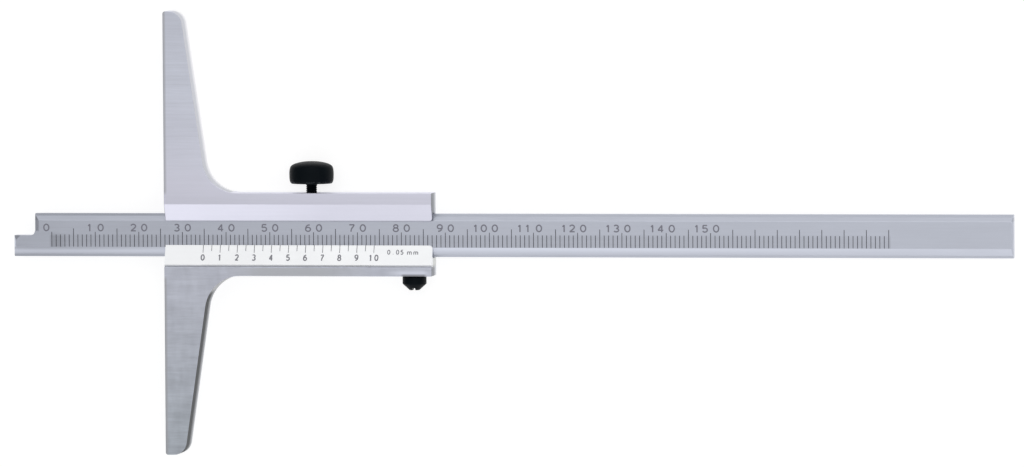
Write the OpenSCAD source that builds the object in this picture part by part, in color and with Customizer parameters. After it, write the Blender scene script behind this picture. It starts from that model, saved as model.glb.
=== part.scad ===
// Vernier depth gauge with a fixed base, lying on its back.
// X runs along the beam away from the measured hole, Y along the base, Z up out of the graduated face.
// The origin is on the measuring face, on the beam's centre line, in the plane of the slider's back.
// Lengths are in millimetres.

/* [Base] */
// Reach of the upper wing from the beam's centre line
wing_up = 50.5; // [35:0.5:150]
// Reach of the lower wing from the beam's centre line
wing_down = 49.5; // [35:0.5:150]
// Thickness of the base and slider
body_t = 6.5; // [6:0.1:9]
// Width of the upper wing where it meets the slider's edge
wing_up_root_w = 9.9; // [8:0.1:14]
// Width of the upper wing at its end
wing_up_tip_w = 4; // [3.2:0.1:7.5]
// Width of the lower wing where it meets the slider's edge
wing_down_root_w = 10.35; // [8:0.05:14]
// Width of the lower wing at its end
wing_down_tip_w = 4.45; // [3.2:0.05:7.5]
// Radius of the fillet between a wing and the slider
root_r = 8; // [3:0.5:12]
// Radius of the outer corner at a wing's end
tip_r = 3; // [0.8:0.1:3]
// Radius of the corner between a wing's end and the measuring face
face_r = 0.6; // [0.2:0.05:0.6]

/* [Slider] */
// Length of the slider from the measuring face
slider_l = 61; // [60:0.5:90]
// Width of the upper rail, from the beam's channel to the slider's edge
rail_up_w = 4.65; // [4.4:0.05:8]
// Width of the lower rail, from the beam's channel to the slider's edge
rail_down_w = 4.15; // [4:0.05:8]
// Width of the flat land on the upper rail's front
land_up_w = 2.55; // [1:0.05:3.5]
// Width of the flat land on the lower rail's front
land_down_w = 2.1; // [1:0.05:2.2]
// How far the upper lip reaches over the beam
lip_up_w = 1.65; // [1:0.05:2]
// How far the vernier plate reaches over the beam
lip_down_w = 2.65; // [1.5:0.05:2.8]
// Thickness of the thin edges of the lip and vernier plate
lip_edge_t = 0.35; // [0.2:0.05:0.6]
// Radius of the lip's and plate's corners at the rear end
lip_corner_r = 0.8; // [0.3:0.1:1.2]
// Running clearance round the beam
slide_gap = 0.1; // [0.08:0.01:0.15]

/* [Beam] */
// Length of the beam over its tongue
beam_l = 226.5; // [215:0.5:400]
// Width of the beam
beam_w = 9.7; // [9.2:0.1:12]
// Thickness of the beam
beam_t = 3; // [2.6:0.1:3.4]
// Length of the tongue at the measuring end
tongue_l = 4.8; // [3:0.1:8]
// Width of the tongue, along the beam's lower edge
tongue_w = 4.75; // [3:0.05:6]
// Radius in the corner between tongue and shoulder
tongue_r = 1; // [0.3:0.1:2]
// Width of the shallow bevel above the graduated face
bevel_up_w = 0.95; // [0.8:0.05:1.4]
// Width of the shallow bevel below it
bevel_down_w = 1.55; // [0.8:0.05:1.6]
// Drop of those bevels
bevel_drop = 0.35; // [0.1:0.05:0.5]
// Width of the steep outer chamfer along both edges
edge_w = 0.6; // [0.2:0.05:0.7]
// Drop of the outer chamfer
edge_drop = 0.45; // [0.2:0.05:0.7]
// Width and drop of the broken edges at the back
back_break = 0.2; // [0.1:0.05:0.4]
// Width of the bevel across the shoulder
shoulder_bevel_w = 0.9; // [0.2:0.05:1]
// Width of the facet that cuts the tongue's inner corner
corner_bevel_w = 1.05; // [0.3:0.05:1.2]
// Width of the bevels across the tip and the rear end
end_bevel_w = 0.4; // [0.2:0.05:0.8]
// Drop of all these bevels
end_bevel_drop = 0.5; // [0.1:0.05:0.8]

/* [Reading] */
// Depth shown by the drawn position of the beam
reading = 34.9; // [0:0.05:150]

/* [Scale] */
// Length of the graduated scale
scale_l = 190; // [150:10:195]
// Length of the numbered part of the scale
numbered_l = 150; // [50:10:150]
// Distance from the tip to the beam's zero line, and from the measuring face to the vernier's
zero_in = 8.7; // [7:0.1:10]
// Distance between lines
line_pitch = 1; // [1:0.5:2]
// Width of the engraved lines
line_w = 0.15; // [0.08:0.01:0.2]
// Depth of the engraving
engraving = 0.06; // [0.03:0.01:0.1]
// Distance of the lines' lower ends below the beam's centre line
line_low = 2.65; // [2:0.05:2.7]
// Length of the ordinary lines
line_short = 2.75; // [1.5:0.05:3]
// Length of the numbered lines
line_mid = 3.35; // [2:0.05:3.6]
// Length of the half-way lines
line_long = 4.1; // [3.5:0.05:4.8]

/* [Vernier] */
// Length of the vernier scale
vernier_l = 39; // [19:1:39]
// Number of divisions on the vernier
vernier_parts = 20; // [10:10:20]
// Length of the vernier's numbered lines
vernier_long = 1.8; // [1.2:0.1:2]
// Length of the lines between them
vernier_short = 1.4; // [0.8:0.1:1.6]
// Width of the chamfer along the plate's outer edge
plate_groove = 0.45; // [0.2:0.05:0.6]

/* [Lock screw] */
// Diameter of the lock screw's thread
lock_d = 2.5; // [2.2:0.1:2.8]
// Pitch of its thread
lock_pitch = 0.45; // [0.3:0.05:0.6]
// Length of bare neck between the slider and the head
lock_neck = 2.05; // [1:0.05:4]
// Height and width of the flare where the neck meets the head
neck_flare = 0.35; // [0.1:0.05:0.6]
// Diameter of the head
head_d = 10; // [8:0.5:12]
// Height of the head
head_h = 5.05; // [3.5:0.05:7]
// Diameter of the nose of the brass tip in front of the screw
lock_nose_d = 1.8; // [1.4:0.1:2]
// Length of that tip's collar, which the threaded hole guides
lock_collar_l = 0.9; // [0.6:0.1:1.2]

/* [Leaf spring] */
// Distance of the leaf spring's ends from the cover screws before and behind it
spring_in = 4.25; // [2:0.05:8]
// Thickness of its strip
spring_t = 0.25; // [0.2:0.01:0.35]
// Depth of the pocket that holds it, beyond the channel
pocket_d = 1.2; // [1:0.05:1.3]

/* [Guide screw] */
// Distance of the guide screw from the slider's rear end
guide_in = 4.5; // [3.5:0.1:5.5]
// Diameter of its thread
guide_d = 2.4; // [2:0.1:2.6]
// Diameter of its head
guide_head_d = 5.4; // [4:0.1:5.6]
// Height of the straight part of its head
guide_rim_h = 1.75; // [0.8:0.05:2]
// Height of the tapered part of its head
guide_cone_h = 1.45; // [1:0.05:2.5]
// Width of the broken edge round its underside
guide_break = 0.25; // [0.1:0.05:0.4]
// Diameter of the head's small end
guide_end_d = 2.2; // [1.6:0.1:3]
// Width of its screwdriver slot
guide_slot_w = 0.7; // [0.3:0.05:0.9]
// Depth of its slot
guide_slot_h = 0.5; // [0.3:0.05:0.9]
// Pitch of its thread
guide_pitch = 0.4; // [0.3:0.05:0.5]
// Diameter of the nose of the brass tip that meets the beam
guide_nose_d = 1.5; // [1.2:0.1:1.6]
// Length of that nose
guide_nose_l = 0.8; // [0.5:0.1:1]
// Length of that tip's collar
guide_collar_l = 0.8; // [0.5:0.1:1]

/* [Back cover] */
// Thickness of the back cover
cover_t = 1.2; // [1:0.05:1.3]
// Length of solid back between the measuring face and the cover
cover_in = 11; // [10:0.5:12]
// Width of the rim left round the cover
cover_rim = 0.8; // [0.5:0.05:0.9]
// Gap between the cover and its recess
cover_gap = 0.05; // [0.02:0.01:0.1]
// Distance of the front cover screws from the measuring face
cover_screw_front = 14.5; // [13.5:0.1:15]
// Distance of the rear cover screws from the slider's rear end
cover_screw_in = 9; // [8.5:0.1:9.5]
// Distance of the cover screws from the channel's walls
cover_screw_out = 2; // [1.9:0.05:2.1]
// Diameter of the cover screws' thread
cover_screw_d = 1.5; // [1.2:0.05:1.6]
// Diameter of their countersunk heads
cover_head_d = 2.6; // [2.2:0.1:2.6]
// Width and depth of their slots
cover_slot = 0.35; // [0.25:0.05:0.4]
// Length of the cover screws
cover_screw_l = 3.6; // [2.5:0.1:4]

/* [Vernier screws] */
// Distance of the front vernier screw from the measuring face
plate_screw_front = 20; // [18:0.5:24]
// Distance of the rear vernier screw from the slider's rear end
plate_screw_back = 15; // [13:0.5:18]
// Distance of the vernier screws from the channel's wall
plate_screw_out = 1.15; // [1.1:0.05:1.2]
// Diameter of their thread
plate_screw_d = 1; // [0.8:0.05:1.2]
// Diameter of their heads
plate_head_d = 1.8; // [1.5:0.05:1.9]
// Height of their heads
plate_head_h = 0.8; // [0.5:0.05:1]
// Width and depth of their slots
plate_slot = 0.3; // [0.2:0.05:0.35]
// How far they reach into the vernier plate
plate_screw_in = 1; // [0.6:0.05:1.1]

/* [Hidden] */
$fn = 72;

// Overrun of every cut past the face that it opens
over = 0.5;
// Radial clearance of a thread or pin in its hole
hole_gap = 0.05;
// Gap at a seat that is drawn just clear
seat_gap = 0.02;

// Levels above the slider's back
beam_z0 = cover_t + slide_gap;
beam_z1 = beam_z0 + beam_t;
beam_mid_z = beam_z0 + beam_t / 2;
channel_z1 = beam_z1 + slide_gap;
lock_z = body_t / 2;
lip_z = channel_z1 + lip_edge_t;

// Distances from the beam's centre line
channel_y = beam_w / 2 + slide_gap;
rail_up_y = channel_y + rail_up_w;
rail_down_y = channel_y + rail_down_w;
lip_up_y = beam_w / 2 - lip_up_w;
lip_down_y = beam_w / 2 - lip_down_w;
land_up_y = rail_up_y - land_up_w;
plate_y = rail_down_y - land_down_w;

// Distances of the rear screws from the measuring face
guide_x = slider_l - guide_in;
cover_screw_rear = slider_l - cover_screw_in;
plate_screw_rear = slider_l - plate_screw_back;

// The lock screw stands midway between the front and rear cover screws, over the leaf spring's middle
lock_x = (cover_screw_front + cover_screw_rear) / 2;
spring_l = cover_screw_rear - cover_screw_front - 2 * spring_in;

// The beam's tip and its zero line, measured from the measuring face
tip_x = -reading;
zero_x = tip_x + zero_in;

// Grey levels of the finishes
steel = [0.74, 0.75, 0.78];
satin = [0.93, 0.94, 0.95];
black = [0.05, 0.06, 0.07];
bronze = [0.72, 0.50, 0.30];
brass = [0.80, 0.65, 0.35];

// Lean of a wing's outer side from the Y direction
function lean(root_w, tip_w, reach, rail) = atan((root_w - tip_w) / (reach - rail));

// Distance that a circle touching two edges keeps from their corner, for each unit of its radius
function set_back(a) = (1 - sin(a)) / cos(a);

// Wedge that cuts the bevel of a straight edge. The edge runs along +X at the origin with the solid
// on its +Y side and below it; w and h are the bevel's width and drop.
module edge_wedge(length, w, h) {
  k = over / w;
  rotate([90, 0, 90])
    linear_extrude(length)
      polygon([[w + over, k * h], [-over, k * h], [-over, -h - k * h]]);
}

// Half of the base and slider's outline, on the +Y side, with one wing and one rail
module half_plan(root_w, tip_w, reach, rail) {
  a = lean(root_w, tip_w, reach, rail);
  tip_c = [tip_w - tip_r * set_back(a), reach - tip_r];
  root_c = [root_w + root_r * set_back(a), rail + root_r];
  difference() {
    union() {
      polygon([[0, 0], [slider_l, 0], [slider_l, rail], [root_c[0], rail],
               root_c - root_r * [cos(a), sin(a)], tip_c + tip_r * [cos(a), sin(a)],
               [tip_c[0], reach], [face_r, reach], [0, reach - face_r]]);
      intersection() {
        translate(tip_c) circle(tip_r);
        translate(tip_c) square(tip_r);
      }
      translate([face_r, reach - face_r]) circle(face_r);
    }
    translate(root_c) circle(root_r);
  }
}

// Solid of the base and slider before anything is cut from it
module blank() {
  linear_extrude(body_t) half_plan(wing_up_root_w, wing_up_tip_w, wing_up, rail_up_y);
  mirror([0, 1, 0])
    linear_extrude(body_t) half_plan(wing_down_root_w, wing_down_tip_w, wing_down, rail_down_y);
}

// A prism with its section in Y and Z, from x0 to x1
module along_x(x0, x1, section) {
  translate([x0, 0, 0]) rotate([90, 0, 90]) linear_extrude(x1 - x0) polygon(section);
}

// A cylinder along Y between two distances from the centre line
module pin_y(x, y0, y1, z, d) {
  translate([x, y0, z]) rotate([-90, 0, 0]) cylinder(h = y1 - y0, d = d);
}

// What is left outside a rounded corner of radius r, whose point is at the origin and whose sides
// run along -X and one way in Y
module corner_cut(r, h) {
  difference() {
    translate([-r, -over, 0]) cube([r + over, r + over, h]);
    translate([-r, r, -over]) cylinder(h = h + 2 * over, r = r);
  }
}

// Section of the beam's channel, the front window and the vernier plate's seat
module channel_cut() {
  slope = (body_t - lip_z) / (land_up_y - lip_up_y);
  along_x(-over, slider_l + over, [
    [-channel_y, cover_t], [channel_y, cover_t], [channel_y, channel_z1], [lip_up_y, channel_z1],
    [lip_up_y, lip_z], [land_up_y + over, body_t + slope * over], [-plate_y, body_t + slope * over],
    [-plate_y, channel_z1], [-channel_y, channel_z1]]);
}

// Block of the back cover, or of its recess, from level low up
module cover_block(grow, low) {
  translate([cover_in - grow, -rail_down_y + cover_rim - grow, low])
    cube([slider_l - cover_rim - cover_in + 2 * grow,
          rail_up_y + rail_down_y - 2 * cover_rim + 2 * grow, cover_t - low]);
}

// Places its children at the four cover screws
module at_cover_screw(upper, rear) {
  translate([rear ? cover_screw_rear : cover_screw_front,
             (upper ? 1 : -1) * (channel_y + cover_screw_out), 0]) children();
}

module at_plate_screw(rear) {
  translate([rear ? plate_screw_rear : plate_screw_front, -channel_y - plate_screw_out, 0]) children();
}

module frame() {
  color(steel)
    difference() {
      blank();
      channel_cut();
      cover_block(cover_gap, -over);
      // rounded corner of the upper lip at the rear end
      translate([slider_l, lip_up_y, channel_z1]) corner_cut(lip_corner_r, body_t);
      // pocket of the leaf spring
      translate([lock_x - spring_l / 2 - over, 0, cover_t])
        cube([spring_l + 2 * over, channel_y + pocket_d, channel_z1 - cover_t]);
      pin_y(lock_x, channel_y + pocket_d - over, rail_up_y + over, lock_z, lock_d + 2 * hole_gap);
      pin_y(guide_x, -rail_down_y - over, -channel_y + over, beam_mid_z, guide_d + 2 * hole_gap);
      for (upper = [false, true], rear = [false, true])
        at_cover_screw(upper, rear) cylinder(h = cover_screw_l + hole_gap, d = cover_screw_d + 2 * hole_gap);
      for (rear = [false, true])
        at_plate_screw(rear) {
          cylinder(h = channel_z1 + over, d = plate_screw_d + 2 * hole_gap);
          cylinder(h = cover_t + plate_head_h, d = plate_head_d + 2 * hole_gap);
        }
    }
}

// Slope of the vernier plate's face
function plate_angle() = atan((body_t - lip_z) / (plate_y - plate_groove - lip_down_y));

module vernier_plate() {
  color(satin)
    difference() {
      along_x(seat_gap, slider_l - seat_gap, [
        [-lip_down_y, channel_z1], [-lip_down_y, lip_z],
        [-plate_y + plate_groove, body_t], [-plate_y + seat_gap, body_t - plate_groove],
        [-plate_y + seat_gap, channel_z1]]);
      translate([slider_l, -lip_down_y, channel_z1 - over])
        mirror([0, 1, 0]) corner_cut(lip_corner_r, body_t);
      for (rear = [false, true])
        at_plate_screw(rear)
          cylinder(h = channel_z1 + plate_screw_in + hole_gap, d = plate_screw_d + 2 * hole_gap);
      // scale, drawn flat and laid on the sloping face with its upper edge at the plate's thin edge
      translate([zero_in, -lip_down_y, lip_z])
        rotate([-plate_angle(), 0, 0]) {
          for (i = [0:vernier_parts]) {
            down = i % 2 == 0 ? vernier_long : vernier_short;
            translate([i * vernier_l / vernier_parts - line_w / 2, -down, -engraving])
              cube([line_w, down + over, engraving + over]);
          }
        }
    }
}

// Engraved scale of the beam, with its zero at the origin
module beam_scale() {
  for (i = [0:floor(scale_l / line_pitch)]) {
    numbered = i % 10 == 0 && i * line_pitch <= numbered_l;
    tall = numbered ? line_mid : i % 5 == 0 ? line_long : line_short;
    translate([i * line_pitch - line_w / 2, -line_low, -engraving])
      cube([line_w, tall, engraving + over]);
  }
}

module beam() {
  end_x = tip_x + beam_l;
  shoulder_x = tip_x + tongue_l;
  tongue_y = tongue_w - beam_w / 2;
  half = beam_w / 2;
  color(steel)
    difference() {
      along_x(tip_x, end_x, [
        [-half, beam_z0 + back_break], [-half + back_break, beam_z0], [half - back_break, beam_z0],
        [half, beam_z0 + back_break], [half, beam_z1 - bevel_drop - edge_drop],
        [half - edge_w, beam_z1 - bevel_drop], [half - edge_w - bevel_up_w, beam_z1],
        [-half + edge_w + bevel_down_w, beam_z1], [-half + edge_w, beam_z1 - bevel_drop],
        [-half, beam_z1 - bevel_drop - edge_drop]]);
      // step that leaves the tongue, with a rounded inner corner
      difference() {
        translate([tip_x - over, tongue_y, 0]) cube([tongue_l + over, beam_w, body_t]);
        translate([shoulder_x - tongue_r, tongue_y - over, -over])
          cube([tongue_r + over, tongue_r + over, body_t + 2 * over]);
      }
      translate([shoulder_x - tongue_r, tongue_y + tongue_r, 0]) cylinder(h = body_t, r = tongue_r);
      // bevels across the tip, the tongue's corner, the shoulder and the rear end
      translate([tip_x, half + over, beam_z1])
        rotate([0, 0, -90]) edge_wedge(beam_w + 2 * over, end_bevel_w, end_bevel_drop);
      translate([tip_x + corner_bevel_w, tongue_y + corner_bevel_w, beam_z1])
        rotate([0, 0, 225]) edge_wedge(4 * corner_bevel_w, corner_bevel_w, end_bevel_drop);
      translate([shoulder_x, half + over, beam_z1])
        rotate([0, 0, -90]) edge_wedge(half + over - tongue_y - tongue_r, shoulder_bevel_w, end_bevel_drop);
      translate([end_x, -half - over, beam_z1])
        rotate([0, 0, 90]) edge_wedge(beam_w + 2 * over, end_bevel_w, end_bevel_drop);
      translate([zero_x, 0, beam_z1]) beam_scale();
    }
}

module back_cover() {
  color(steel)
    difference() {
      cover_block(0, 0);
      for (upper = [false, true], rear = [false, true])
        at_cover_screw(upper, rear) {
          translate([0, 0, -over]) cylinder(h = cover_t + 2 * over, d = cover_screw_d + 2 * hole_gap);
          countersink(2 * hole_gap);
        }
    }
}

// Cone of a cover screw's head, wider by grow
module countersink(grow) {
  fall = (cover_head_d - cover_screw_d) / 2;
  cylinder(h = fall, d1 = cover_head_d + grow, d2 = cover_screw_d + grow);
}

module cover_screw(upper, rear) {
  color(steel)
    at_cover_screw(upper, rear)
      difference() {
        union() {
          countersink(0);
          cylinder(h = cover_screw_l, d = cover_screw_d);
        }
        translate([-cover_head_d, -cover_slot / 2, -over])
          cube([2 * cover_head_d, cover_slot, cover_slot + over]);
      }
}

module cover_screw_upper_front() { cover_screw(true, false); }
module cover_screw_upper_rear() { cover_screw(true, true); }
module cover_screw_lower_front() { cover_screw(false, false); }
module cover_screw_lower_rear() { cover_screw(false, true); }

module vernier_screw(rear) {
  color(steel)
    at_plate_screw(rear)
      difference() {
        union() {
          translate([0, 0, cover_t + seat_gap]) cylinder(h = plate_head_h - seat_gap, d = plate_head_d);
          translate([0, 0, cover_t + seat_gap])
            cylinder(h = channel_z1 - cover_t + plate_screw_in - seat_gap, d = plate_screw_d);
        }
        translate([-plate_head_d, -plate_slot / 2, 0]) cube([2 * plate_head_d, plate_slot, cover_t + plate_slot]);
      }
}

module vernier_screw_front() { vernier_screw(false); }
module vernier_screw_rear() { vernier_screw(true); }

// Bowed strip: its middle rests on the beam's upper edge and its ends on the pocket's far wall
module leaf_spring() {
  near = beam_w / 2 + seat_gap;
  far = channel_y + pocket_d - seat_gap;
  sag = far - near - spring_t;
  reach = spring_l / 2;
  r = (reach * reach + sag * sag) / (2 * sag);
  turn = asin(reach / (r + spring_t));
  color(bronze)
    translate([lock_x, near + r, beam_z0])
      rotate([0, 0, 270 - turn])
        rotate_extrude(angle = 2 * turn, $fn = 360)
          translate([r - spring_t, 0]) square([spring_t, beam_t - seat_gap]);
}

// A pin along Y from y0 to y1, with a collar from y1 on
module stepped_pin(x, y0, y1, y2, z, d1, d2) {
  pin_y(x, min(y0, y1), max(y0, y1), z, d1);
  pin_y(x, min(y1, y2), max(y1, y2), z, d2);
}

// Stations of the lock's pieces along Y
lock_nose_y = beam_w / 2 + spring_t + 2 * seat_gap;
lock_collar_y = channel_y + pocket_d + seat_gap;
lock_end_y = lock_collar_y + lock_collar_l + seat_gap;
head_y = rail_up_y + lock_neck;

module lock_tip() {
  color(brass)
    stepped_pin(lock_x, lock_nose_y, lock_collar_y, lock_collar_y + lock_collar_l, lock_z,
                lock_nose_d, lock_d - 2 * hole_gap);
}

// Profile of the rounded head, from its underside's rim to its middle, as shares of its radius and height
head_shares = [[0.9, 0], [0.95, 0.045], [0.98, 0.12], [0.995, 0.24], [1, 0.38], [1, 0.5], [0.988, 0.615],
               [0.972, 0.7], [0.945, 0.755], [0.905, 0.8], [0.845, 0.845], [0.74, 0.895], [0.53, 0.95],
               [0.3, 0.985], [0, 1]];

module lock_screw() {
  color(black)
    translate([lock_x, 0, lock_z])
      rotate([-90, 0, 0])
        rotate_extrude()
          polygon(concat(
            [[0, lock_end_y], [lock_d / 2 - lock_pitch / 2, lock_end_y], [lock_d / 2, lock_end_y + lock_pitch / 2],
             [lock_d / 2, head_y - neck_flare], [lock_d / 2 + neck_flare, head_y]],
            [for (p = head_shares) [head_d / 2 * p[0], head_y + head_h * p[1]]]));
}

// Stations of the guide screw's pieces along Y, going down
guide_nose_y = -beam_w / 2 - seat_gap;
guide_collar_y = guide_nose_y - guide_nose_l;
guide_end_y = guide_collar_y - guide_collar_l - seat_gap;
guide_head_y = -rail_down_y - seat_gap;

module guide_tip() {
  color(brass)
    stepped_pin(guide_x, guide_nose_y, guide_collar_y, guide_collar_y - guide_collar_l, beam_mid_z,
                guide_nose_d, guide_d - 2 * hole_gap);
}

module guide_screw() {
  h = guide_rim_h + guide_cone_h;
  color(black)
    translate([guide_x, 0, beam_mid_z])
      rotate([90, 0, 0])
        difference() {
          rotate_extrude()
            polygon([[0, -guide_end_y], [guide_d / 2 - guide_pitch / 2, -guide_end_y],
                     [guide_d / 2, -guide_end_y + guide_pitch / 2], [guide_d / 2, -guide_head_y],
                     [guide_head_d / 2 - guide_break, -guide_head_y], [guide_head_d / 2, -guide_head_y + guide_break],
                     [guide_head_d / 2, -guide_head_y + guide_rim_h], [guide_end_d / 2, -guide_head_y + h],
                     [0, -guide_head_y + h]]);
          translate([-guide_slot_w / 2, -guide_head_d, -guide_head_y + h - guide_slot_h])
            cube([guide_slot_w, 2 * guide_head_d, guide_slot_h + over]);
        }
}

frame();
vernier_plate();
vernier_screw_front();
vernier_screw_rear();
back_cover();
cover_screw_upper_front();
cover_screw_upper_rear();
cover_screw_lower_front();
cover_screw_lower_rear();
leaf_spring();
lock_tip();
lock_screw();
guide_tip();
guide_screw();
beam();
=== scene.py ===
"""Vernier depth gauge: finishes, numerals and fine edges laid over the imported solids.

Lengths are written in millimetres, as in the part's source, and become metres where a mesh is made.
X runs along the beam, Y along the base, Z out of the graduated face.
"""

import math

import bmesh
import bpy
import numpy as np
from mathutils import Matrix


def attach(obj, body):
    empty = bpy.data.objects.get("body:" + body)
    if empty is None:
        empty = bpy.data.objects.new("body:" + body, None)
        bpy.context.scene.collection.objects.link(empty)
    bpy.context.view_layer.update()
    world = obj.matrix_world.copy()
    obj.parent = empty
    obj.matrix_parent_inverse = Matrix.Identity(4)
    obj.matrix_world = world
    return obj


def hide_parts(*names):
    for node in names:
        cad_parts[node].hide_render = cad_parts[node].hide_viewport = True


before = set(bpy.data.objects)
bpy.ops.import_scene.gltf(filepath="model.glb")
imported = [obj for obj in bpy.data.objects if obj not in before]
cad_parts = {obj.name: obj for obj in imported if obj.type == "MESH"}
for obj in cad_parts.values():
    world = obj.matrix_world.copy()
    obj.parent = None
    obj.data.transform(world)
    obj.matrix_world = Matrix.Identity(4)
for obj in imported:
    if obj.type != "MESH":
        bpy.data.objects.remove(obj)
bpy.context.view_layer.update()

MM = 0.001

# Beam: level of its graduated face, zero line, scale and engraving
BEAM_FACE_Z = 4.3
BEAM_ZERO_X = -26.2
SCALE_LENGTH = 190
NUMBERED_LENGTH = 150
ENGRAVING = 0.06
# Depths below the face between which a surface counts as inside an engraved line
JUST_IN_LINE = 0.2 * ENGRAVING
DEEP_IN_LINE = 1.5 * ENGRAVING
FACE_TOP_Y = 3.3
FACE_LOW_Y = -2.7

# Slider: lower edge of its upper lip, over the beam's face, where the lip's slope meets the flat land,
# its lower edge, and the place of the guide screw's axis along it
LIP_EDGE_Y = 3.2
LAND_EDGE_Y = 7.05
SLIDER_LOW_Y = -9.1
GUIDE_X = 56.5

# Widths of the small rounds along the edges of the frame, the back cover and the guide screw
FRAME_ROUND = 0.14
COVER_ROUND = 0.08
GUIDE_ROUND = 0.07

# Vernier plate: upper edge of its sloping face, its slope, zero line and length, and the upper edge of its
# bevel beside the slider's lower land
PLATE_EDGE_Y = -2.2
PLATE_EDGE_Z = 4.75
PLATE_SLOPE = math.atan2(6.5 - PLATE_EDGE_Z, 4.35)
VERNIER_ZERO_X = 8.7
VERNIER_LENGTH = 39
GROOVE_Y = -6.57

# Lock screw: its axis, thread and head
LOCK_X = 33.25
LOCK_Z = 3.25
LOCK_END_Y = 7.09
LOCK_RADIUS = 1.25
LOCK_PITCH = 0.45
THREAD_DEPTH = 0.16
NECK_FLARE = 0.35
HEAD_Y = 11.65
HEAD_RADIUS = 5
HEAD_HEIGHT = 5.05
# Profile of the rounded head, from its underside's rim to its middle, as shares of its radius and height
HEAD_SHARES = np.array([
    [0.9, 0], [0.95, 0.045], [0.98, 0.12], [0.995, 0.24], [1, 0.38], [1, 0.5], [0.988, 0.615],
    [0.972, 0.7], [0.945, 0.755], [0.905, 0.8], [0.845, 0.845], [0.74, 0.895], [0.53, 0.95],
    [0.3, 0.985], [0, 1]])

# Numerals: how far they stand out of the face that carries them and reach into it
DIGIT_RISE = 0.008
DIGIT_SINK = 0.02
# How much higher each further stroke of a digit stands, so that no two tops lie in one plane
STROKE_STEP = 0.0006

# Beam's numerals: height, width, stroke, gap and lower edge, and their distance from a numbered line
DIGIT_HEIGHT = 1.95
DIGIT_WIDTH = 1.6
DIGIT_STROKE = 0.3
DIGIT_GAP = 0.2
DIGIT_LOW_Y = 0.7
LINE_CLEARANCE = 0.45

# Vernier's numerals: height, width, stroke, gap and upper edge below the plate's edge
VERNIER_DIGIT_HEIGHT = 1.7
VERNIER_DIGIT_WIDTH = 1.05
VERNIER_DIGIT_STROKE = 0.28
VERNIER_DIGIT_GAP = 0.25
VERNIER_DIGIT_TOP = -2.1

# Vernier's reading: its words, and for each its place along, the width and the advance of a sign
READING = (("0.05", 42.0, 0.8, 1.0), ("mm", 46.5, 1.2, 1.45))
READING_HEIGHT = 1.3
READING_STROKE = 0.2
READING_LOW = -2.25


# ---------------------------------------------------------------- meshes

def piece(name, vertices, faces):
    """A new mesh object from an array of points in millimetres and a list or array of faces."""
    mesh = bpy.data.meshes.new(name)
    mesh.from_pydata((np.asarray(vertices, float) * MM).tolist(), [],
                     faces if isinstance(faces, list) else faces.tolist())
    mesh.update()
    made = bpy.data.objects.new(name, mesh)
    bpy.context.scene.collection.objects.link(made)
    return made


def smooth(made, angle):
    """Shades a piece smooth, with edges sharper than the angle (degrees) kept crisp."""
    mesh = made.data
    mesh.polygons.foreach_set("use_smooth", np.ones(len(mesh.polygons), bool))
    mesh.set_sharp_from_angle(angle=math.radians(angle))


# Points of a solid that lie closer are joined
WELD = 0.002
# Angles in degrees: triangles that differ by less are joined, and edges that are sharper get a round
FLAT_ANGLE = 0.2
SHARP_ANGLE = 35
# Of the walls that look along X, the rear end lies beyond this X and between plus and minus this Y, and the
# lower wing's side lies below this Y
REAR_END_X = 50
REAR_END_Y = 12
LOWER_SIDE_Y = -9


def softened(name, node, width):
    """A copy of a solid with its flat triangles joined and its sharp edges broken to a small round.

    The rear end takes the second finish, the lower wing's side, corner and fillet the third, the upper
    wing's outer side and fillet the fourth, and the rest the first."""
    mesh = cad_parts[node].data.copy()
    mesh.name = name
    mesh.materials.clear()
    shape = bmesh.new()
    shape.from_mesh(mesh)
    bmesh.ops.remove_doubles(shape, verts=shape.verts, dist=WELD * MM)
    bmesh.ops.dissolve_limit(shape, angle_limit=math.radians(FLAT_ANGLE), verts=shape.verts,
                             edges=shape.edges)
    for face in shape.faces:
        if abs(face.normal.z) < 0.3 and face.normal.x > 0.2:
            middle = face.calc_center_median() / MM
            at_end = middle.x > REAR_END_X and abs(middle.y) < REAR_END_Y
            face.material_index = 1 if at_end else 2 if middle.y < LOWER_SIDE_Y else 3
    shape.to_mesh(mesh)
    shape.free()
    made = bpy.data.objects.new(name, mesh)
    bpy.context.scene.collection.objects.link(made)
    made.matrix_world = Matrix.Identity(4)
    edge = made.modifiers.new("broken_edges", "BEVEL")
    edge.width = width * MM
    edge.segments = 2
    edge.limit_method = "ANGLE"
    edge.angle_limit = math.radians(SHARP_ANGLE)
    edge.use_clamp_overlap = False
    edge.harden_normals = True
    smooth(made, SHARP_ANGLE)
    return made


def arc(centre, radii, start, end, count=18):
    """Points of an elliptical arc: the centre plus the radii times the cosine and sine of the angle."""
    angle = np.radians(np.linspace(start, end, count))
    return np.stack([centre[0] + radii[0] * np.cos(angle), centre[1] + radii[1] * np.sin(angle)], 1)


def line(*points):
    """Points of a straight or broken line."""
    return np.array(points, float)


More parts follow.
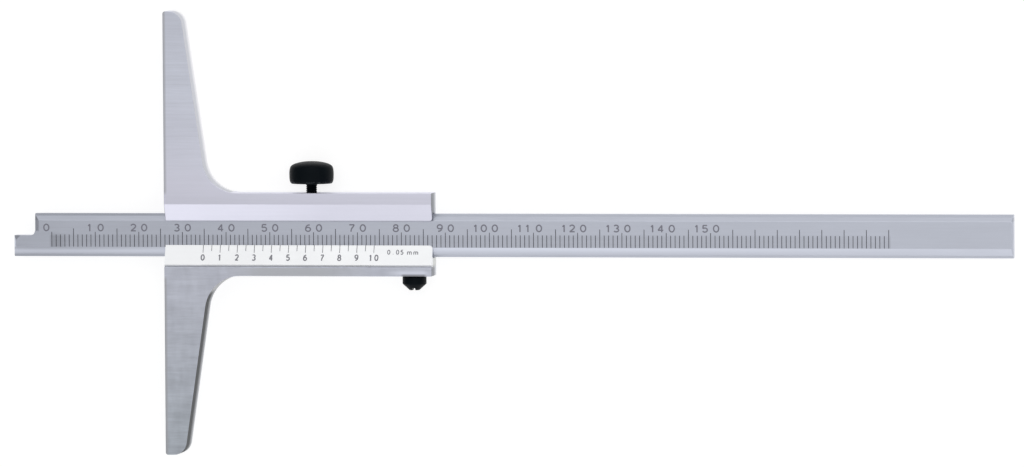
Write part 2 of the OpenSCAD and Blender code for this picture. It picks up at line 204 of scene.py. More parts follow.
# Strokes of the numerals in a box one wide and one high
STROKES = {
    "0": [arc((0.5, 0.5), (0.44, 0.44), 90, 450, 33)],
    "1": [line((0.5, 0.0), (0.5, 0.97)), line((0.5, 0.95), (0.22, 0.72))],
    "2": [np.concatenate([arc((0.5, 0.7), (0.4, 0.25), 165, -25), line((0.6, 0.36), (0.1, 0.06))]),
          line((0.06, 0.06), (0.94, 0.06))],
    "3": [arc((0.46, 0.73), (0.38, 0.22), 150, -90), arc((0.46, 0.28), (0.43, 0.23), 90, -150)],
    "4": [line((0.7, 0.0), (0.7, 0.95)), line((0.72, 0.95), (0.06, 0.28)), line((0.04, 0.28), (0.96, 0.28))],
    "5": [line((0.86, 0.94), (0.2, 0.94)), line((0.2, 0.96), (0.13, 0.52)),
          arc((0.47, 0.32), (0.43, 0.28), 140, -150)],
    "6": [arc((0.5, 0.31), (0.42, 0.27), 90, 450, 29),
          np.concatenate([line((0.8, 0.93)), arc((0.62, 0.33), (0.54, 0.56), 100, 180, 12)])],
    "7": [line((0.06, 0.94), (0.92, 0.94)),
          np.concatenate([line((0.9, 0.93)), arc((1.3, 0.0), (0.95, 0.85), 128, 180, 12)])],
    "8": [arc((0.5, 0.74), (0.35, 0.21), -90, 270, 25), arc((0.5, 0.28), (0.43, 0.24), 90, 450, 25)],
    "9": [arc((0.5, 0.69), (0.42, 0.27), -90, 270, 29),
          np.concatenate([line((0.2, 0.07)), arc((0.38, 0.67), (0.54, 0.56), -80, 0, 12)])],
    ".": [line((0.42, 0.08), (0.58, 0.08))],
    "m": [line((0.06, 0.0), (0.06, 0.62)), line((0.5, 0.0), (0.5, 0.55)), line((0.94, 0.0), (0.94, 0.5)),
          arc((0.28, 0.42), (0.22, 0.17), 180, 0, 9), arc((0.72, 0.42), (0.22, 0.17), 180, 0, 9)],
}


def ribbon(points, width, top, bottom):
    """A stroke as a closed solid: at each point of the path, the point plus and minus half the width along
    the path's normal, at the top and bottom levels."""
    step = np.gradient(points, axis=0)
    length = np.hypot(step[:, 0], step[:, 1])[:, None]
    normal = np.stack([-step[:, 1], step[:, 0]], 1) / length
    left, right = points + normal * width / 2, points - normal * width / 2
    flat = np.stack([left, right, right, left], 1)
    level = np.broadcast_to(np.array([top, top, bottom, bottom]), flat.shape[:2])
    vertices = np.concatenate([flat, level[..., None]], 2).reshape(-1, 3)
    row = np.arange(len(points) - 1)[:, None, None] * 4
    side = np.array([[0, 4, 5, 1], [1, 5, 6, 2], [2, 6, 7, 3], [3, 7, 4, 0]])[None]
    faces = (row + side).reshape(-1, 4)
    last = (len(points) - 1) * 4
    ends = np.array([[0, 1, 2, 3], [last + 3, last + 2, last + 1, last]])
    return vertices, np.concatenate([faces, ends])


def lettering(name, words, place):
    """One mesh of all the strokes of several words.

    words holds a text, the point left of and below its first sign, the size of a sign, the advance from
    one to the next and the stroke's width. place turns flat points (along, up, level) into the model's."""
    vertices, faces, count = [], [], 0
    for text, corner, size, advance, width in words:
        room = np.array(size) - width
        for place_in_word, sign in enumerate(text):
            start = corner + np.array([place_in_word * advance, 0]) + np.array([width / 2, width / 2])
            for number, stroke in enumerate(STROKES.get(sign, [])):
                level = DIGIT_RISE + STROKE_STEP * number
                points, sides = ribbon(start + stroke * room, width, level, -DIGIT_SINK)
                vertices.append(place(points))
                faces.append(sides + count)
                count += len(points)
    return piece(name, np.concatenate(vertices), np.concatenate(faces))


def on_beam(points):
    """Lays flat points on the beam's face: along from its zero line, up from its centre line."""
    return points + np.array([BEAM_ZERO_X, 0, BEAM_FACE_Z])


def on_plate(points):
    """Lays flat points on the vernier plate: along from its zero line, up from the sloping face's upper
    edge. The face falls towards that edge by the plate's slope."""
    along, up, level = points.T
    c, s = math.cos(PLATE_SLOPE), math.sin(PLATE_SLOPE)
    return np.stack([VERNIER_ZERO_X + along, PLATE_EDGE_Y + up * c + level * s,
                     PLATE_EDGE_Z - up * s + level * c], 1)


def turned(name, centre, stations, radii):
    """A surface of revolution about a line along Y, closed at both ends.

    Row i lies at stations[i] along Y, and its radius at angle t is radii[i, t]. Points are the centre plus
    the radius times the sine and cosine of the angle. The first and last rows are the two poles."""
    rows, columns = radii.shape
    angle = np.linspace(0, 2 * math.pi, columns, endpoint=False)
    x = centre[0] + radii * np.sin(angle)
    z = centre[1] + radii * np.cos(angle)
    y = np.broadcast_to(stations[:, None], radii.shape)
    grid = np.stack([x, y, z], 2)[1:-1].reshape(-1, 3)
    poles = np.array([[centre[0], stations[0], centre[1]], [centre[0], stations[-1], centre[1]]])
    row = np.arange(rows - 3)[:, None] * columns
    here = np.arange(columns)
    after = (here + 1) % columns
    sides = np.stack([row + here, row + columns + here, row + columns + after, row + after], 2).reshape(-1, 4)
    first = (rows - 2) * columns
    low = np.stack([np.full(columns, first), here, after], 1)
    top = (rows - 3) * columns
    high = np.stack([np.full(columns, first + 1), top + after, top + here], 1)
    return piece(name, np.concatenate([grid, poles]), sides.tolist() + low.tolist() + high.tolist())


# ---------------------------------------------------------------- finishes

class Value:
    """A number or colour that varies over a surface, with arithmetic written as expressions."""

    def __init__(self, finish, socket):
        self.finish = finish
        self.socket = socket

    def maths(self, operation, *terms):
        """One of Blender's operations on numbers."""
        return self.finish.node("ShaderNodeMath", {"operation": operation}, terms)

    def __add__(self, other):
        return self.maths("ADD", self, other)

    __radd__ = __add__

    def __sub__(self, other):
        return self.maths("SUBTRACT", self, other)

    def __rsub__(self, other):
        return self.maths("SUBTRACT", other, self)

    def __mul__(self, other):
        return self.maths("MULTIPLY", self, other)

    __rmul__ = __mul__

    def __gt__(self, other):
        return self.maths("GREATER_THAN", self, other)

    def __lt__(self, other):
        return self.maths("LESS_THAN", self, other)

    def between(self, low, high):
        """One between low and high, and zero elsewhere."""
        return (self > low) * (self < high)

    def rises(self, low, high):
        """Zero below low, one above high, and even between them."""
        return self.finish.node("ShaderNodeMapRange", {"clamp": True}, (self, low, high, 0.0, 1.0))

    def falls(self, low, high):
        """One below low, zero above high, and even between them."""
        return 1 - self.rises(low, high)


class Finish:
    """A material being made: its shader, the place on the object in millimetres, and a way to add a node."""

    def __init__(self, name, **constants):
        self.material = bpy.data.materials.new(name)
        self.material.use_nodes = True
        self.tree = self.material.node_tree
        self.tree.nodes.clear()
        out = self.tree.nodes.new("ShaderNodeOutputMaterial")
        self.shader = self.tree.nodes.new("ShaderNodeBsdfPrincipled")
        self.tree.links.new(self.shader.outputs["BSDF"], out.inputs["Surface"])
        for key, value in constants.items():
            self.shader.inputs[key.replace("_", " ")].default_value = value
        where = self.node("ShaderNodeTexCoord", {}, {}, "Object")
        self.place = self.node("ShaderNodeVectorMath", {"operation": "SCALE"},
                               {"Vector": where, "Scale": 1 / MM})
        self.x, self.y, self.z = (self.node("ShaderNodeSeparateXYZ", {}, (self.place,), axis)
                                  for axis in "XYZ")

    def node(self, kind, settings, inputs, output=0):
        """Adds a node of a kind: its settings first, then the values or links of its sockets."""
        made = self.tree.nodes.new(kind)
        for key, value in settings.items():
            setattr(made, key, value)
        pairs = inputs.items() if isinstance(inputs, dict) else enumerate(inputs)
        for key, value in pairs:
            socket = self.socket(made.inputs, key)
            if isinstance(value, Value):
                self.tree.links.new(value.socket, socket)
            else:
                socket.default_value = value
        return Value(self, self.socket(made.outputs, output))

    @staticmethod
    def socket(sockets, key):
        """The socket with an identifier, else the one with that name or number."""
        return next((s for s in sockets if s.identifier == key), None) or sockets[key]

    def noise(self, stretch, detail=2.0, roughness=0.5, shift=(0, 0, 0)):
        """Noise between 0 and 1, with stretch waves to the millimetre along each axis."""
        moved = self.node("ShaderNodeVectorMath", {"operation": "MULTIPLY_ADD"}, (self.place, stretch, shift))
        return self.node("ShaderNodeTexNoise", {}, {"Vector": moved, "Scale": 1.0, "Detail": detail,
                                                    "Roughness": roughness}, "Fac")

    def blend(self, share, first, second):
        """A colour between two, by a share from 0 to 1."""
        first, second = (c if isinstance(c, Value) else (*c, 1.0) for c in (first, second))
        return self.node("ShaderNodeMix", {"data_type": "RGBA"},
                         {"Factor_Float": share, "A_Color": first, "B_Color": second}, "Result_Color")

    def tint(self, share, colour):
        """Turns the finish's colour towards another, by a share from 0 to 1."""
        self.colour = self.blend(share, self.colour, colour)

    def feed(self, socket, value):
        """Joins a value to one of the shader's sockets."""
        self.tree.links.new(value.socket, self.shader.inputs[socket])

    def relief(self, height, depth):
        """Bumps the surface by a height from 0 to 1 times a depth in millimetres."""
        self.feed("Normal", self.node("ShaderNodeBump", {}, {"Strength": 1.0, "Distance": depth * MM,
                                                             "Height": height}, "Normal"))


def shade(colour, factor):
    """A colour made lighter or darker by a factor."""
    return tuple(min(1.0, c * factor) for c in colour)


# Ground steels. The lower rail and wing get painted shade, a little darker than the upper ones, and the
# wing's end most
STEEL = (0.71, 0.735, 0.835)
LILAC_STEEL = (0.735, 0.735, 0.845)
LOWER_STEEL = shade(STEEL, 0.87)
SHADED_END_STEEL = (0.525, 0.565, 0.625)
EDGE_STEEL = (0.47, 0.475, 0.5)
GREY_STEEL = (0.56, 0.575, 0.61)
BEAM_STEEL = (0.572, 0.598, 0.68)
PALE_CHROME = (0.92, 0.93, 0.945)

# Paint in the beam's lines, in the vernier's lines and numerals, and in the beam's numerals
PAINT = (0.035, 0.035, 0.05)
GREY_PAINT = (0.25, 0.25, 0.28)
NUMERAL_PAINT = (0.22, 0.22, 0.265)

# Scratches along X or Y: waves of noise to the millimetre, fine and broad
ALONG_X = ((0.25, 9, 9), (0.04, 1.6, 1.6))
ALONG_Y = ((9, 0.25, 9), (0.9, 0.06, 0.9))


def ground_metal(name, colour, roughness, grain=0.0012, contrast=0.06, ways=ALONG_X):
    """Ground or brushed metal: fine scratches one way, faint clouds, and roughness that follows them."""
    metal = Finish(name, Metallic=1.0)
    fine = metal.noise(ways[0], 3.0, 0.6)
    broad = metal.noise(ways[1], 2.0, 0.5, (3.1, 7.7, 1.3))
    cloud = metal.noise((0.07, 0.09, 0.09), 3.0, 0.55, (11.0, 5.0, 2.0))
    tone = fine * 0.35 + broad * 0.35 + cloud * 0.3
    metal.tone = tone
    metal.colour = metal.blend(tone.rises(0.3, 0.7), shade(colour, 1 - contrast), shade(colour, 1 + contrast))
    metal.rough = roughness + (fine - 0.5) * 0.14 + (cloud - 0.5) * 0.12
    metal.height = fine * 0.6 + broad * 0.4
    metal.grain = grain
    return metal


def finished(metal):
    """Joins a ground metal's colour, roughness and scratches to its shader."""
    metal.feed("Base Color", metal.colour)
    metal.feed("Roughness", metal.rough)
    metal.relief(metal.height, metal.grain)
    return metal.material


def filled(metal, mask, paint=PAINT, roughness=0.6, matt=None):
    """Fills the places where the mask is 1 with matt paint. A second mask makes bare metal less metallic."""
    metal.tint(mask, paint)
    metal.rough = metal.rough * (1 - mask) + mask * roughness
    metal.feed("Metallic", 1 - (mask if matt is None else mask + matt))
    return metal


def frame_finish():
    """Ground steel of base and slider: painted shade below the beam, painted highlights and shadows, greyed
    places.
    """
    metal = ground_metal("ground_steel", STEEL, 0.34, contrast=0.12)
    x, y, z = metal.x, metal.y, metal.z
    # Painted shade darkens the lower rail and wing and both wings' tips; a painted highlight lies by the
    # upper root
    shaded_below = y.falls(-6, 6)
    strokes = metal.noise((0.12, 0.75, 0.3), 3.0, 0.65, (5.0, 2.0, 8.0))
    blotches = metal.noise((0.5, 0.16, 0.3), 2.0, 0.5, (1.0, 6.0, 4.0))
    streaks = (metal.tone * 0.4 + strokes * 0.35 + blotches * 0.25).rises(0.38, 0.62)
    lower = metal.blend(streaks, shade(LOWER_STEEL, 0.88), shade(LOWER_STEEL, 1.12))
    lower_end = metal.blend(streaks, shade(SHADED_END_STEEL, 0.83), shade(SHADED_END_STEEL, 1.15))
    lower = metal.blend(y.falls(-46, -12), lower, lower_end)
    bright = y.rises(6, 12) * y.falls(14, 34)
    slider = metal.blend(metal.tone.rises(0.3, 0.7), shade(LILAC_STEEL, 0.95), shade(LILAC_STEEL, 1.05))
    upper = metal.blend(y.rises(11, 16), slider, metal.colour)
    upper = metal.blend(bright * 0.6, upper, shade(LILAC_STEEL, 1.12))
    upper = metal.blend(y.rises(34, 50) * 0.5, upper, shade(STEEL, 0.88))
    metal.colour = metal.blend(shaded_below, upper, lower)
    # The wings' edge along the measuring face gets painted shade, a little darker and greyer
    wing_edge = x.falls(0.35, 0.75) * (y.rises(9, 10) + y.falls(-10, -9))
    metal.tint(wing_edge * 0.7, EDGE_STEEL)
    # The sloping lip gets a painted highlight at the front and painted shade towards the rear
    on_lip = y.between(LIP_EDGE_Y - 0.05, LAND_EDGE_Y) * (z > BEAM_FACE_Z + 0.3)
    metal.tint(on_lip * x.falls(0, 30) * 0.7, shade(LILAC_STEEL, 1.12))
    metal.tint(on_lip * x.rises(26, 36) * 0.5, shade(LILAC_STEEL, 0.88))
    # Below the vernier plate's front half, the slider is greyer
    grey_land = y.rises(-10.5, -8.8) * (y < -7.2) * x.rises(14, 22) * x.falls(36, 48)
    metal.tint(grey_land * 0.85, GREY_STEEL)
    # Painted shadow darkens the thin edge of the upper lip, standing in for the lip's shadow on the beam
    lip_edge_shadow = y.between(LIP_EDGE_Y - 0.1, LIP_EDGE_Y + 0.2) * z.between(BEAM_FACE_Z, BEAM_FACE_Z + 0.8)
    metal.tint(lip_edge_shadow * 0.3, shade(EDGE_STEEL, 0.5))
    # A painted highlight lies on the slider above the guide screw, and a painted shadow on its edge over the
    # screw's head
    from_screw = x - GUIDE_X
    above_edge = y - SLIDER_LOW_Y
    above_screw = from_screw.rises(-6, -2.5) * from_screw.falls(2.7, 4)
    metal.tint(above_screw * above_edge.rises(0.2, 0.6) * above_edge.falls(0.9, 1.6), shade(STEEL, 1.12))
    screw_shadow = from_screw.rises(-2.6, -1.9) * from_screw.falls(2.7, 3.4) * above_edge.falls(0.1, 0.7)
    metal.tint(screw_shadow * 0.8, shade(EDGE_STEEL, 0.25))
    return finished(metal)


def beam_finish():
    """Ground steel of the beam: painted lines, a haze of wiped paint, and painted shade and highlights on
    face and bevels.
    """
    metal = ground_metal("beam_steel", BEAM_STEEL, 0.36)
    x, y, z = metal.x, metal.y, metal.z
    on_face = y.between(FACE_LOW_Y, FACE_TOP_Y)
    # Painted light: the face grows lighter towards the rear end
    metal.tint(on_face * x.rises(20, 60) * 0.3, shade(BEAM_STEEL, 1.1))
    # Painted shade darkens the upper bevel
    upper_bevel = y.rises(FACE_TOP_Y, FACE_TOP_Y + 0.15) * y.falls(4.2, 4.3)
    metal.tint(upper_bevel, shade(BEAM_STEEL, 0.8))
    # The lower bevel gets a painted highlight along its middle and painted shade towards both ends, and on
    # its upper part near the left end
    lower_bevel = y.rises(-4.3, -3.1) * (y < FACE_LOW_Y) * (z > BEAM_FACE_Z - 0.6)
    near_left_end = x.falls(-30, 20)
    bevel = metal.blend(near_left_end, shade(BEAM_STEEL, 1.31), shade(BEAM_STEEL, 0.92))
    bevel = metal.blend(near_left_end * y.rises(-3.6, -2.9), bevel, shade(BEAM_STEEL, 0.7))
    bevel = metal.blend(x.rises(105, 180), bevel, shade(BEAM_STEEL, 1.02))
    metal.tint(lower_bevel, bevel)
    # Left of the slider, the outer edges get painted shade
    outer_edges = y.rises(4.2, 4.5) * x.falls(-5, 15) + y.falls(-4.25, -3.6) * near_left_end * 0.9
    metal.tint(outer_edges, shade(BEAM_STEEL, 0.74))
    # Paint that was wiped off the face has left a grey haze between the short lines, most by the first
    scale_end = BEAM_ZERO_X + SCALE_LENGTH
    haze = on_face * y.falls(-0.3, 0.4) * x.between(BEAM_ZERO_X - 0.5, scale_end + 0.5)
    from_zero = x - BEAM_ZERO_X
    first_lines = from_zero.rises(-0.5, 0.3) * from_zero.falls(1.8, 3.5)
    metal.tint(haze * (first_lines * 0.2 + 0.11), shade(BEAM_STEEL, 0.2))
    in_line = z.between(BEAM_FACE_Z - DEEP_IN_LINE, BEAM_FACE_Z - JUST_IN_LINE)
    return finished(filled(metal, on_face * x.between(BEAM_ZERO_X - 0.2, scale_end + 0.2) * in_line))


def plate_finish():
    """Satin chrome of the vernier plate, with painted lines and a duller bevel beside the slider's land."""
    metal = ground_metal("satin_chrome", PALE_CHROME, 0.42, 0.0008, 0.02)
    x, y, z = metal.x, metal.y, metal.z
    below = (PLATE_EDGE_Z - z) * math.cos(PLATE_SLOPE) + (PLATE_EDGE_Y - y) * math.sin(PLATE_SLOPE)
    in_scale = x.between(VERNIER_ZERO_X - 0.2, VERNIER_ZERO_X + VERNIER_LENGTH + 0.2)
    in_line = in_scale * (y < PLATE_EDGE_Y - 0.004) * below.between(JUST_IN_LINE, DEEP_IN_LINE)
    return finished(filled(metal, in_line, GREY_PAINT, matt=(y < GROOVE_Y) * 0.8))


def beside_plate(wall):
    """One on the slider's rear end beside the vernier plate, where the wall's painted shade is lighter."""
    return wall.y.rises(-7.4, -6.4) * wall.y.falls(-2.5, -0.5)


def in_fillet(wall):
    """One in the fillet between the lower wing and the slider, where the wall's painted shade is lighter."""
    return wall.y.rises(-13.4, -12.2)


def side_wall(name, top, foot, patch_mask=None, patch=None, matt=False):
    """A side wall with painted shade and light: one colour at its top and another near its foot, and perhaps
    a patch of a third.

    A matt wall is metal only near its foot and in its patch."""
    wall = ground_metal(name, top, 0.5, 0.002, 0.1)
    metal = wall.z.falls(0.4, 3.6)
    wall.tint(metal, foot)
    if patch_mask:
        in_patch = patch_mask(wall)
        wall.tint(in_patch, patch)
        metal = metal.maths("MAXIMUM", metal, in_patch)
    if matt:
        wall.feed("Metallic", metal)
        wall.shader.inputs["Specular IOR Level"].default_value = 0.0
    return finished(wall)


frame_steel = frame_finish()
beam_steel = beam_finish()
satin_chrome = plate_finish()

# Painted shade and light on the side walls: the rear end and lower side dark, the upper side pale, all
# lighter at the foot
end_steel = side_wall("end_steel", (0.27, 0.28, 0.31), (0.75, 0.77, 0.8), beside_plate, (0.72, 0.73, 0.71))
lower_side = side_wall("shaded_lower_side", (0.2, 0.205, 0.21), (0.54, 0.55, 0.575), in_fillet,
                       (0.45, 0.455, 0.47), matt=True)
upper_side = side_wall("lit_upper_side", (0.62, 0.63, 0.68), (0.97, 0.97, 0.98))

cover_steel = finished(ground_metal("cover_steel", (0.64, 0.655, 0.71), 0.38, 0.0016, 0.08))
screw_steel = finished(ground_metal("screw_steel", (0.5, 0.51, 0.54), 0.3, 0.001, 0.1))
bronze = finished(ground_metal("spring_bronze", (0.66, 0.42, 0.2), 0.3, 0.001, 0.08))
brass = finished(ground_metal("brass_tip", (0.78, 0.6, 0.26), 0.28, 0.001, 0.08, ways=ALONG_Y))


def black_finish(name, wear_mask=None):
    """Blackened steel: near black with a faint speckle, and bright metal where edges have worn."""
    black = Finish(name, Specular_IOR_Level=0.05)
    speck = black.noise((5, 5, 5), 3.0, 0.6)
    cloud = black.noise((0.35, 0.35, 0.35), 2.0, 0.5, (4.0, 1.0, 9.0))
    colour = black.blend(speck * 0.5 + cloud * 0.5, (0.0015, 0.003, 0.0045), (0.005, 0.008, 0.011))
    rough = 0.42 + (speck - 0.5) * 0.2 + (cloud - 0.5) * 0.12
    if wear_mask:
        worn = wear_mask(black) * black.noise((2.5, 2.5, 2.5), 3.0, 0.6, (2.0, 8.0, 5.0)).rises(0.5, 0.62)
        colour = black.blend(worn * 0.55, colour, (0.09, 0.1, 0.11))
        black.feed("Metallic", worn * 0.6)
    black.feed("Base Color", colour)
    black.feed("Roughness", rough)
    black.relief(speck * 0.7 + cloud * 0.3, 0.006)
    return black.material


def head_rim(black):
    """One on the lower rim of the lock screw's head, where fingers and the bench rub."""
    return black.y.between(HEAD_Y - 0.01, HEAD_Y + 0.5)


lock_black = black_finish("black_oxide", head_rim)
guide_black = black_finish("black_oxide_small")


def matt_paint(name, colour, lightest):
    """Matt paint of raised numerals, with a fine grain from a little darker to its lightest."""
    paint = Finish(name, Metallic=0.0, Specular_IOR_Level=0.3)
    grain = paint.noise((4, 4, 4), 3.0)
    paint.feed("Base Color", paint.blend(grain, shade(colour, 0.85), shade(colour, lightest)))
    paint.feed("Roughness", 0.55 + grain * 0.2)
    return paint.material


beam_paint = matt_paint("scale_paint", NUMERAL_PAINT, 1.15)
vernier_paint = matt_paint("vernier_paint", GREY_PAINT, 1.2)


def dress(made, *materials):
    """Puts one finish on every slot of a piece or node, or several on a piece that has none yet."""
    if made.material_slots:
        for place in made.material_slots:
            place.material = materials[0]
    else:
        for material in materials:
            made.data.materials.append(material)
    return made


# ---------------------------------------------------------------- pieces

base = dress(softened("base_and_slider", "frame", FRAME_ROUND),
             frame_steel, end_steel, lower_side, upper_side)
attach(base, "frame")
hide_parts("frame")

cover = dress(softened("cover_plate", "back_cover", COVER_ROUND), *[cover_steel] * 4)
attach(cover, "frame")
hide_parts("back_cover")

small_screw = dress(softened("slotted_guide_screw", "guide_screw", GUIDE_ROUND), *[guide_black] * 4)
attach(small_screw, "guide_screw")
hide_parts("guide_screw")


def lock_surface():
    """The lock screw in one surface. On the thread, the radius falls by the thread's depth as a triangle
    wave of the height over the pitch less the angle over a full turn. Under the head, it grows with the
    square of the height. The head's radius follows its shares, blurred along their path."""
    columns = 96
    turn = np.arange(columns) / columns
    shank = np.arange(LOCK_END_Y, HEAD_Y - NECK_FLARE - 0.02, LOCK_PITCH / 10)
    wave = np.abs(((shank[:, None] / LOCK_PITCH - turn) % 1) * 2 - 1)
    fade = np.clip((shank - LOCK_END_Y) / LOCK_PITCH, 0.25, 1)[:, None]
    shank_radii = (LOCK_RADIUS - THREAD_DEPTH * wave) * (0.8 + 0.2 * fade)
    share = np.linspace(0, 1, len(HEAD_SHARES))
    fine = np.linspace(0, 1, 71)
    head_r = np.interp(fine, share, HEAD_SHARES[:, 0])
    head_y = np.interp(fine, share, HEAD_SHARES[:, 1])
    blur = np.array([1, 2, 3, 2, 1]) / 9
    inner = slice(2, -2)
    head_r[inner] = np.convolve(head_r, blur, "valid")
    head_y[inner] = np.convolve(head_y, blur, "valid")
    head_r = np.clip(head_r, 0, 1) * HEAD_RADIUS
    head_y = HEAD_Y + head_y * HEAD_HEIGHT
    flare = np.linspace(0, 1, 7)
    flare_y = HEAD_Y - NECK_FLARE * (1 - flare)
    flare_r = LOCK_RADIUS + NECK_FLARE * flare ** 2
    stations = np.concatenate([[LOCK_END_Y], shank, flare_y, head_y])
    even = np.ones(columns)
    radii = np.concatenate([np.zeros((1, columns)), shank_radii,
                            flare_r[:, None] * even, head_r[:, None] * even])
    return turned("lock_screw_and_head", (LOCK_X, LOCK_Z), stations, radii)


thumb_screw = dress(lock_surface(), lock_black)
smooth(thumb_screw, 40)
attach(thumb_screw, "lock_screw")
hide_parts("lock_screw")


def beam_labels():
    """Labels every 10 mm: the last digit right of its line, the others left of it. The lone 0 is left."""
    words = []
    size = (DIGIT_WIDTH, DIGIT_HEIGHT)
    step = DIGIT_WIDTH + DIGIT_GAP
    for number in range(0, NUMBERED_LENGTH + 1, 10):
        text = str(number)
        left, right = (text, "") if number == 0 else (text[:-1], text[-1])
        start = number - LINE_CLEARANCE + DIGIT_GAP - len(left) * step
        words.append((left, np.array([start, DIGIT_LOW_Y]), size, step, DIGIT_STROKE))
        words.append((right, np.array([number + LINE_CLEARANCE, DIGIT_LOW_Y]), size, step, DIGIT_STROKE))
    return words


numerals = dress(lettering("beam_numerals", beam_labels(), on_beam), beam_paint)
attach(numerals, "beam")


def vernier_labels():
    """Digits 0 to 10 under the vernier's long lines, and its reading in small signs beside them."""
    words = []
    size = (VERNIER_DIGIT_WIDTH, VERNIER_DIGIT_HEIGHT)
    step = VERNIER_DIGIT_WIDTH + VERNIER_DIGIT_GAP
    low = VERNIER_DIGIT_TOP - VERNIER_DIGIT_HEIGHT
    for number in range(11):
        text = str(number)
        width = step * len(text) - VERNIER_DIGIT_GAP
        corner = np.array([number * VERNIER_LENGTH / 10 - width / 2, low])
        words.append((text, corner, size, step, VERNIER_DIGIT_STROKE))
    for text, start, width, advance in READING:
        words.append((text, np.array([start, READING_LOW]), (width, READING_HEIGHT), advance, READING_STROKE))
    return words


marks = dress(lettering("vernier_numerals", vernier_labels(), on_plate), vernier_paint)
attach(marks, "frame")

for node, material in {
        "beam": beam_steel, "vernier_plate": satin_chrome, "leaf_spring": bronze, "lock_tip": brass,
        "guide_tip": brass, "vernier_screw_front": screw_steel, "vernier_screw_rear": screw_steel,
        "cover_screw_upper_front": screw_steel, "cover_screw_upper_rear": screw_steel,
        "cover_screw_lower_front": screw_steel, "cover_screw_lower_rear": screw_steel}.items():
    dress(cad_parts[node], material)


# ---------------------------------------------------------------- floor, light and camera

FLOOR_Z = -1.75
FLOOR_REACH = 3000
floor = piece("floor", [[x * FLOOR_REACH, y * FLOOR_REACH, FLOOR_Z]
                        for x, y in ((-1, -1), (1, -1), (1, 1), (-1, 1))], [[0, 1, 2, 3]])


def floor_material():
    """A pale floor. To the camera, reflections and glass it shows white and keeps some of its shadow."""
    pale = Finish("pale_floor", Roughness=0.9)
    pale.shader.inputs["Base Color"].default_value = (0.9, 0.9, 0.9, 1)
    pale.shader.inputs["Specular IOR Level"].default_value = 0.0
    tree = pale.tree
    rays = [pale.node("ShaderNodeLightPath", {}, {}, name)
            for name in ("Is Camera Ray", "Is Glossy Ray", "Is Transmission Ray")]
    seen = pale.node("ShaderNodeMath", {"operation": "MAXIMUM"}, (rays[0], rays[1]))
    seen = pale.node("ShaderNodeMath", {"operation": "MAXIMUM"}, (seen, rays[2]))
    shadow = pale.node("ShaderNodeBsdfDiffuse", {}, {"Color": (0.3, 0.3, 0.3, 1)})
    white = pale.node("ShaderNodeEmission", {}, {"Color": (1, 1, 1, 1), "Strength": 0.82})
    shown = pale.node("ShaderNodeAddShader", {}, (shadow, white))
    mixed = pale.node("ShaderNodeMixShader", {}, (seen, Value(pale, pale.shader.outputs["BSDF"]), shown))
    out = next(n for n in tree.nodes if n.type == "OUTPUT_MATERIAL")
    tree.links.new(mixed.socket, out.inputs["Surface"])
    return pale.material


dress(floor, floor_material())

# Studio sky: each glow has a direction, a tightness and a level, over an even grey
SKY_LEVEL = 0.23
GLOWS = [
    ((0, -0.7, 0.7), 8, 1.0),
    ((0, 0.7, 0.7), 8, 1.05),
    ((0, -1, 0.15), 8, 0.35),
    ((0.3, 1, 0.15), 8, 0.35),
    ((0.7, 0, 0.7), 8, 0.32),
    ((1, 0, 0.15), 8, 0.14),
    ((-1, 0, 0.15), 8, 0.2),
]


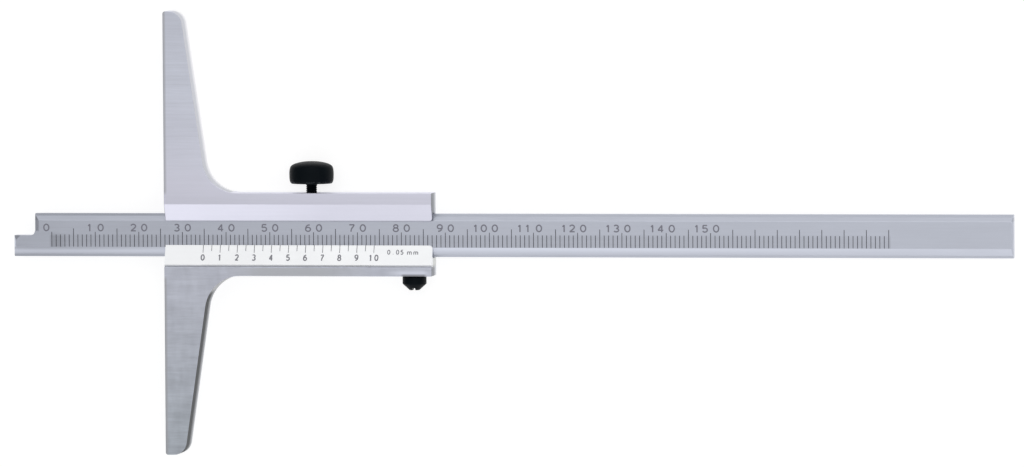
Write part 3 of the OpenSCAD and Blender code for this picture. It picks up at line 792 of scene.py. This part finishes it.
class Sky(Finish):
    """The studio's even grey, with a soft glow about each of several directions."""

    def __init__(self):
        world = bpy.data.worlds.new("studio")
        bpy.context.scene.world = world
        world.use_nodes = True
        self.tree = world.node_tree
        self.tree.nodes.clear()
        where = self.node("ShaderNodeTexCoord", {}, {}, "Generated")
        total = SKY_LEVEL
        for direction, tightness, level in GLOWS:
            along = np.array(direction) / np.linalg.norm(direction)
            near = self.node("ShaderNodeVectorMath", {"operation": "DOT_PRODUCT"},
                             (where, tuple(along)), "Value")
            near = near.maths("MAXIMUM", near, 0.0)
            total = total + near.maths("POWER", near, float(tightness)) * level
        light = self.node("ShaderNodeBackground", {}, {"Color": (1, 1, 1, 1), "Strength": total})
        out = self.tree.nodes.new("ShaderNodeOutputWorld")
        self.tree.links.new(light.socket, out.inputs["Surface"])


Sky()

# Overhead panels: low and high X, low and high Y, and level on the same scale as the sky
PANEL_Z = 350
PANELS = {
    "upper_left_panel": ((-400, -85), (-60, 260), 0.04),
    "upper_middle_panel": ((-85, 120), (-60, 260), 0.43),
    "upper_right_panel": ((120, 520), (-60, 260), 0.39),
    "lower_left_panel": ((-400, -85), (-300, -60), 0.44),
    "lower_right_panel": ((120, 520), (-300, -60), 0.36),
}


def softbox(name, span_x, span_y, level):
    """A flat lamp that faces down and that the camera doesn't see. Its power is its level times pi times
    its area."""
    lamp = bpy.data.lights.new(name, "AREA")
    lamp.shape = "RECTANGLE"
    lamp.size, lamp.size_y = (span_x[1] - span_x[0]) * MM, (span_y[1] - span_y[0]) * MM
    lamp.energy = level * math.pi * lamp.size * lamp.size_y
    made = bpy.data.objects.new(name, lamp)
    bpy.context.scene.collection.objects.link(made)
    made.location = (sum(span_x) / 2 * MM, sum(span_y) / 2 * MM, PANEL_Z * MM)
    made.visible_camera = False
    return made


for panel, settings in PANELS.items():
    softbox(panel, *settings)

CAMERA_MM = (389.8, 106.9, 2024.0)
CAMERA_YAW, CAMERA_PITCH, CAMERA_ROLL = 8.75, -2.98, -0.34
FOCAL_PIXELS = 9133
IMAGE_WIDTH = 1024
SENSOR = 36.0

camera = bpy.data.cameras.new("camera")
camera.sensor_fit = "HORIZONTAL"
camera.sensor_width = SENSOR
camera.lens = FOCAL_PIXELS / IMAGE_WIDTH * SENSOR
camera.clip_start = 0.05
camera.clip_end = 20
viewer = bpy.data.objects.new("camera", camera)
bpy.context.scene.collection.objects.link(viewer)
turn = (Matrix.Rotation(math.radians(CAMERA_YAW), 4, "Y")
        @ Matrix.Rotation(math.radians(CAMERA_PITCH), 4, "X")
        @ Matrix.Rotation(math.radians(CAMERA_ROLL), 4, "Z"))
viewer.matrix_world = Matrix.Translation([c * MM for c in CAMERA_MM]) @ turn
bpy.context.scene.camera = viewer

bpy.context.scene.view_settings.view_transform = "Standard"
